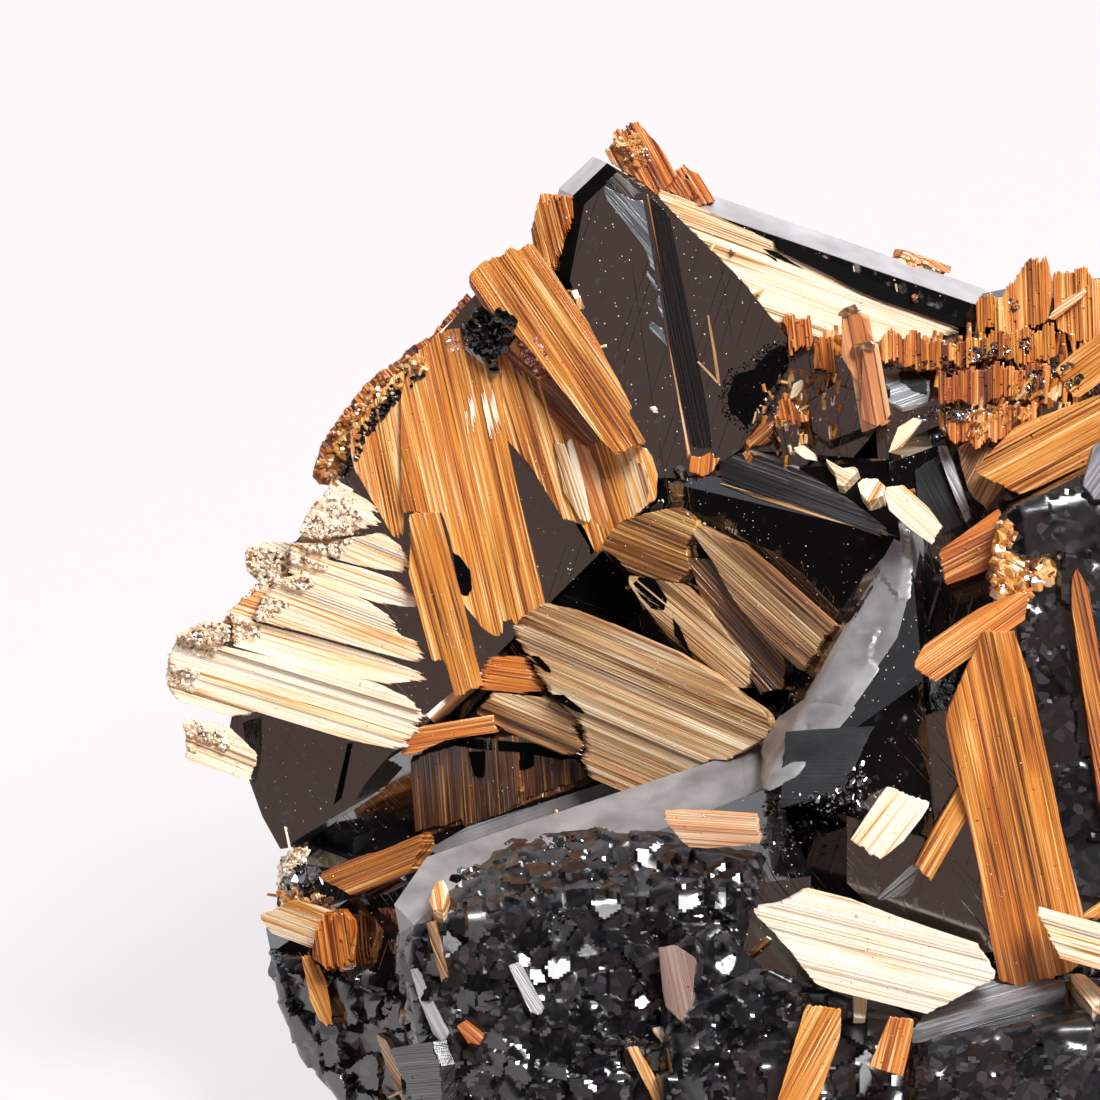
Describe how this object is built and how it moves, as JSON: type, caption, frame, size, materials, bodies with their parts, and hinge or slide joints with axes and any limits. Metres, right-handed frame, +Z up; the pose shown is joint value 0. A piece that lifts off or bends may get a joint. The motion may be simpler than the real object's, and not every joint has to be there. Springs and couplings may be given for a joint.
{
  "type": "rutile on hematite specimen",
  "caption": "Small mineral specimen: black tabular hematite crystals with oriented sheets, blades and prisms of golden rutile, cut flat below to stand.",
  "frame": {"origin": "on the sawn flat base, below the middle of the specimen's bounding box", "axes": "+Z up from the sawn base, -Y toward the side with the broad rutile sheets, +X to that side's right"},
  "size_m": [0.032, 0.03, 0.0256],
  "materials": {
    "hematite": "natural crystal faces, steel black, mirror bright with fine growth lines",
    "rutile_amber": "natural crystals, golden amber, lengthwise striated, silky to adamantine",
    "rutile_cream": "natural crystals, pale cream gold, lengthwise striated, satin glare",
    "rutile_orange": "natural crystals, orange red, striated, glossy",
    "rutile_brown": "natural crystals, brown, striated, satin"
  },
  "bodies": {
    "root": {"hematite_cluster": "hematite", "fan_blade": "rutile_amber", "fan_lath_block": "rutile_amber", "fan_sheet_middle": "rutile_amber", "fan_sheet_right": "rutile_amber", "fan_sheet_left": "rutile_amber", "fan_rim": "rutile_orange", "peak_side_patch": "rutile_orange", "peak_crown_left": "rutile_orange", "peak_crown_right": "rutile_orange", "arm_sheet": "rutile_cream", "arm_back_lump": "rutile_orange", "left_sheet_top": "rutile_cream", "left_sheet_second": "rutile_cream", "left_sheet_third": "rutile_cream", "left_sheet_fourth": "rutile_cream", "left_sheet_fifth": "rutile_cream", "left_sheet_lowest": "rutile_cream", "left_back_stub": "rutile_cream", "left_low_stub": "rutile_cream", "middle_sheet": "rutile_amber", "middle_under_blade": "rutile_amber", "middle_fringe": "rutile_orange", "middle_curved_blade": "rutile_orange", "saddle_sheet_brown": "rutile_brown", "saddle_sheet_tan": "rutile_amber", "saddle_blade": "rutile_amber", "shaded_laths": "rutile_brown", "twin_prism_left": "rutile_orange", "twin_prism_right": "rutile_orange", "saddle_stub_left": "rutile_orange", "saddle_stub_right": "rutile_orange", "facet_prism": "rutile_orange", "step_crest_left": "rutile_amber", "step_crest_right": "rutile_amber", "step_second": "rutile_amber", "step_third": "rutile_orange", "step_fourth": "rutile_orange", "step_tan_blade": "rutile_amber", "right_blade_upper": "rutile_amber", "right_blade_lower": "rutile_orange", "bent_rod_low": "rutile_cream", "right_orange_blade": "rutile_orange", "front_amber_blade": "rutile_amber", "front_cream_blade": "rutile_cream", "front_cream_chip": "rutile_cream", "front_tan_prism": "rutile_amber", "front_right_cream": "rutile_cream", "front_low_prism_left": "rutile_amber", "front_low_prism_right": "rutile_orange", "ridge_peach_patch": "rutile_cream", "crag_cream_blade": "rutile_cream", "crag_orange_lump": "rutile_orange", "crag_orange_blade": "rutile_orange", "crag_brown_blade": "rutile_amber", "back_sheet_upper": "rutile_amber", "back_sheet_left": "rutile_amber", "back_sheet_middle": "rutile_cream", "back_sheet_low": "rutile_amber", "right_side_sheet": "rutile_orange"}
  },
  "joints": []
}
